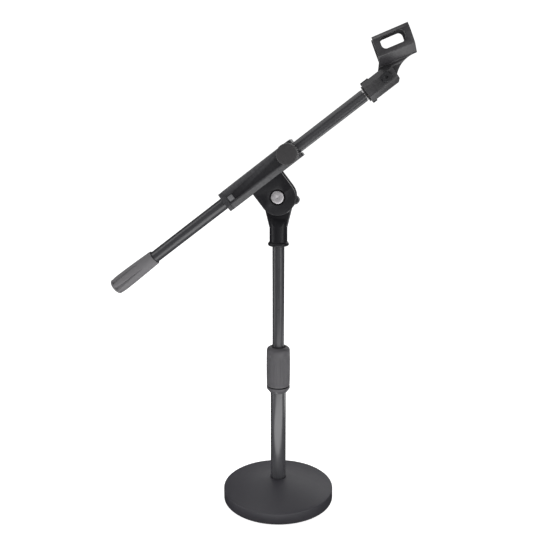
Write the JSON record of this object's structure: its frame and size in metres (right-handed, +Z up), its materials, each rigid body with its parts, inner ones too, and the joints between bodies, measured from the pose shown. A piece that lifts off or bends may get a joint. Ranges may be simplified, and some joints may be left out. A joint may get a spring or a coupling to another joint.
{
  "type": "desktop microphone boom stand",
  "caption": "Desktop microphone stand: round weighted base, telescoping column with twist clutch, tilting boom in a clamp sleeve, rubber end grip and slotted U-shaped clip.",
  "frame": {"origin": "centre of the underside of the foot pad, on the column's axis", "axes": "+Z up along the column; +X towards the clip end of the boom, which lies in the XZ plane; the lock knob faces -Y"},
  "size_m": [0.3098, 0.1188, 0.4928],
  "materials": {
    "cast_base": "satin black powder coat",
    "tube_paint": "satin black paint",
    "black_metal": "black oxide",
    "steel": "plain",
    "bright_steel": "turned, bright zinc",
    "brass": "turned",
    "black_plastic": "fine texture",
    "grey_plastic": "fine texture",
    "clip_plastic": "satin",
    "nylon": "natural",
    "grip_rubber": "matt",
    "foot_rubber": "matt"
  },
  "bodies": {
    "stand_base": {"base_weight": "cast_base", "foot_pad": "foot_rubber", "base_bolt": "steel", "base_washer": "steel", "tube_plug": "steel", "lower_tube": "tube_paint", "clutch_ferrule": "grey_plastic"},
    "collet": {"clutch_collet": "nylon"},
    "height_grip": {"clutch_grip": "grey_plastic"},
    "mast_slider": {"guide_bush": "nylon"},
    "mast": {"upper_tube": "tube_paint", "mast_stud": "steel", "mast_head": "black_plastic"},
    "sleeve": {"boom_sleeve": "black_plastic", "sleeve_bushing_lower": "black_plastic", "sleeve_bushing_upper": "black_plastic", "friction_washer_front": "nylon", "friction_washer_rear": "nylon", "tilt_bolt": "bright_steel", "knob_insert": "brass"},
    "clamp_washer": {"tilt_washer": "steel"},
    "clamp_handle": {"tilt_handle": "black_plastic", "tilt_nut": "steel"},
    "boom_pad": {"clamp_pad": "nylon"},
    "lock_knob": {"sleeve_knob": "grey_plastic", "knob_screw": "steel"},
    "boom_slider": {"boom_plug": "black_plastic"},
    "boom": {"boom_tube": "tube_paint", "boom_grip": "grip_rubber", "boom_stud": "steel"},
    "jam_ring": {"lock_ring": "black_metal"},
    "socket": {"clip_socket": "grey_plastic", "thread_insert": "brass", "clip_nut": "steel"},
    "fork_bolt": {"clip_bolt": "black_metal"},
    "clip": {"mic_clip": "clip_plastic"}
  },
  "joints": [
    {"name": "clutch_rise", "type": "slide", "parent": "stand_base", "child": "collet", "axis": [0, 0, 1], "range_m": [0, 0.0015]},
    {"name": "clutch_turn", "type": "hinge", "parent": "collet", "child": "height_grip", "pos_m": [0, 0, 0.1516], "axis": [0, 0, 1], "range_deg": [0, 270]},
    {"name": "mast_slide", "type": "slide", "parent": "stand_base", "child": "mast_slider", "axis": [0, 0, 1], "range_m": [-0.036, 0.05]},
    {"name": "mast_turn", "type": "hinge", "parent": "mast_slider", "child": "mast", "pos_m": [0, 0, 0.1], "axis": [0, 0, 1], "continuous": true},
    {"name": "boom_tilt", "type": "hinge", "parent": "mast", "child": "sleeve", "pos_m": [0, 0, 0.33], "axis": [0, 1, 0], "range_deg": [-50, 110]},
    {"name": "clamp_washer_travel", "type": "slide", "parent": "sleeve", "child": "clamp_washer", "axis": [0, 1, 0], "range_m": [0, 0.00125]},
    {"name": "clamp_handle_turn", "type": "hinge", "parent": "clamp_washer", "child": "clamp_handle", "pos_m": [0, 0.018, 0.33], "axis": [0, 1, 0], "range_deg": [0, 360]},
    {"name": "boom_pad_travel", "type": "slide", "parent": "sleeve", "child": "boom_pad", "axis": [0, -1, 0], "range_m": [0, 0.0015]},
    {"name": "lock_knob_turn", "type": "hinge", "parent": "boom_pad", "child": "lock_knob", "pos_m": [0.01048, -0.018, 0.37276], "axis": [0, -1, 0], "range_deg": [0, 540]},
    {"name": "boom_slide", "type": "slide", "parent": "sleeve", "child": "boom_slider", "axis": [0.7944, 0, 0.6074], "range_m": [-0.075, 0.085]},
    {"name": "boom_roll", "type": "hinge", "parent": "boom_slider", "child": "boom", "pos_m": [-0.01676, 0, 0.35193], "axis": [0.7944, 0, 0.6074], "continuous": true},
    {"name": "jam_ring_turn", "type": "hinge", "parent": "boom", "child": "jam_ring", "pos_m": [0.08452, 0, 0.42937], "axis": [-0.7944, 0, -0.6074], "range_deg": [0, 45]},
    {"name": "socket_turn", "type": "hinge", "parent": "boom", "child": "socket", "pos_m": [0.08969, 0, 0.43331], "axis": [0.7944, 0, 0.6074], "range_deg": [-180, 180]},
    {"name": "fork_bolt_turn", "type": "hinge", "parent": "socket", "child": "fork_bolt", "pos_m": [0.10303, 0, 0.44452], "axis": [0, -1, 0], "range_deg": [0, 90]},
    {"name": "clip_tilt", "type": "hinge", "parent": "socket", "child": "clip", "pos_m": [0.10303, 0, 0.44452], "axis": [0, 1, 0], "range_deg": [-35, 60]}
  ],
  "couplings": [
    {"joint": "clutch_rise", "follows": "clutch_turn", "m_per_rad": 0.000318},
    {"joint": "clamp_washer_travel", "follows": "clamp_handle_turn", "m_per_rad": 0.000198},
    {"joint": "boom_pad_travel", "follows": "lock_knob_turn", "m_per_rad": 0.000159}
  ]
}
